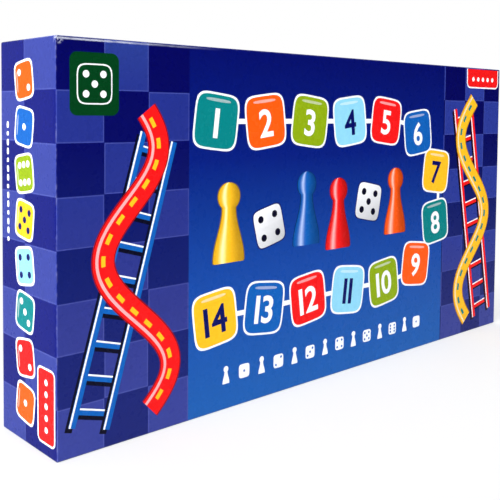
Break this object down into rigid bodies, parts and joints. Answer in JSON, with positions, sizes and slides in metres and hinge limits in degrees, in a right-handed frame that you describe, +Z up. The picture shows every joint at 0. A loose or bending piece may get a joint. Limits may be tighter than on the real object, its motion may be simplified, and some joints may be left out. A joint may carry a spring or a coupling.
{
  "type": "boxed snakes and ladders set",
  "caption": "Printed lift-off-lid box standing on a long edge, holding a folding wooden snakes and ladders board with pawns and dice in a routed insert.",
  "frame": {"origin": "middle of the long edge face that the box stands on, at floor level", "axes": "+X along the box, towards the right end as seen from the printed front; -Y out of the printed front; +Z up"},
  "size_m": [0.2924, 0.044, 0.1524],
  "materials": {
    "greyboard": "raw greyboard",
    "lid_print": "printed and laminated",
    "base_paper": "printed and laminated",
    "leaflet_paper": "uncoated",
    "playing_panel": "printed plywood",
    "rail_wood": "clear lacquer",
    "hinge_brass": "satin",
    "magnet_plating": "nickel plated",
    "insert_plywood": "bare plywood",
    "orange_lacquer": "gloss lacquer",
    "blue_lacquer": "gloss lacquer",
    "red_lacquer": "gloss lacquer",
    "yellow_lacquer": "gloss lacquer",
    "die_plastic": "gloss"
  },
  "bodies": {
    "base": {"base_card": "greyboard", "base_wrap": "base_paper"},
    "leaflet": {"rules_leaflet": "leaflet_paper"},
    "lid": {"lid_card": "greyboard", "lid_wrap": "lid_print"},
    "case_rear": {"rear_panel": "playing_panel", "rear_spine_rail": "rail_wood", "rear_catch_rail": "rail_wood", "rear_left_rail": "rail_wood", "rear_right_rail": "rail_wood", "left_hinge_rear_leaf": "hinge_brass", "left_hinge_pin": "hinge_brass", "right_hinge_rear_leaf": "hinge_brass", "right_hinge_pin": "hinge_brass", "rear_hinge_screws": "hinge_brass", "rear_magnets": "magnet_plating", "piece_insert": "insert_plywood"},
    "case_front": {"front_panel": "playing_panel", "front_spine_rail": "rail_wood", "front_catch_rail": "rail_wood", "front_left_rail": "rail_wood", "front_right_rail": "rail_wood", "left_hinge_front_leaf": "hinge_brass", "right_hinge_front_leaf": "hinge_brass", "front_hinge_screws": "hinge_brass", "front_magnets": "magnet_plating"},
    "orange_pawn": {"pawn_orange": "orange_lacquer"},
    "blue_pawn": {"pawn_blue": "blue_lacquer"},
    "red_pawn": {"pawn_red": "red_lacquer"},
    "yellow_pawn": {"pawn_yellow": "yellow_lacquer"},
    "first_die": {"die_one": "die_plastic"},
    "second_die": {"die_two": "die_plastic"}
  },
  "joints": [
    {"name": "lid_lift", "type": "slide", "parent": "base", "child": "lid", "axis": [0, -1, 0], "range_m": [0, 0.6]},
    {"name": "case_lift", "type": "slide", "parent": "base", "child": "case_rear", "axis": [0, -1, 0], "range_m": [0, 0.06]},
    {"name": "case_fold", "type": "hinge", "parent": "case_rear", "child": "case_front", "pos_m": [0, -0.0004, 0.1453], "axis": [-1, 0, 0], "range_deg": [0, 180]},
    {"name": "leaflet_lift", "type": "slide", "parent": "base", "child": "leaflet", "axis": [0, -1, 0], "range_m": [0, 0.03]},
    {"name": "orange_pawn_lift", "type": "slide", "parent": "case_rear", "child": "orange_pawn", "axis": [0, -1, 0], "range_m": [0, 0.045]},
    {"name": "blue_pawn_lift", "type": "slide", "parent": "case_rear", "child": "blue_pawn", "axis": [0, -1, 0], "range_m": [0, 0.045]},
    {"name": "red_pawn_lift", "type": "slide", "parent": "case_rear", "child": "red_pawn", "axis": [0, -1, 0], "range_m": [0, 0.045]},
    {"name": "yellow_pawn_lift", "type": "slide", "parent": "case_rear", "child": "yellow_pawn", "axis": [0, -1, 0], "range_m": [0, 0.045]},
    {"name": "first_die_lift", "type": "slide", "parent": "case_rear", "child": "first_die", "axis": [0, -1, 0], "range_m": [0, 0.045]},
    {"name": "second_die_lift", "type": "slide", "parent": "case_rear", "child": "second_die", "axis": [0, -1, 0], "range_m": [0, 0.045]}
  ],
  "couplings": [
    {"joint": "case_lift", "follows": "lid_lift", "ratio": 0.1},
    {"joint": "case_fold", "follows": "lid_lift", "rad_per_m": 5.2359},
    {"joint": "leaflet_lift", "follows": "lid_lift", "ratio": 0.05},
    {"joint": "orange_pawn_lift", "follows": "lid_lift", "ratio": 0.075},
    {"joint": "blue_pawn_lift", "follows": "lid_lift", "ratio": 0.075},
    {"joint": "red_pawn_lift", "follows": "lid_lift", "ratio": 0.075},
    {"joint": "yellow_pawn_lift", "follows": "lid_lift", "ratio": 0.075},
    {"joint": "first_die_lift", "follows": "lid_lift", "ratio": 0.075},
    {"joint": "second_die_lift", "follows": "lid_lift", "ratio": 0.075}
  ]
}
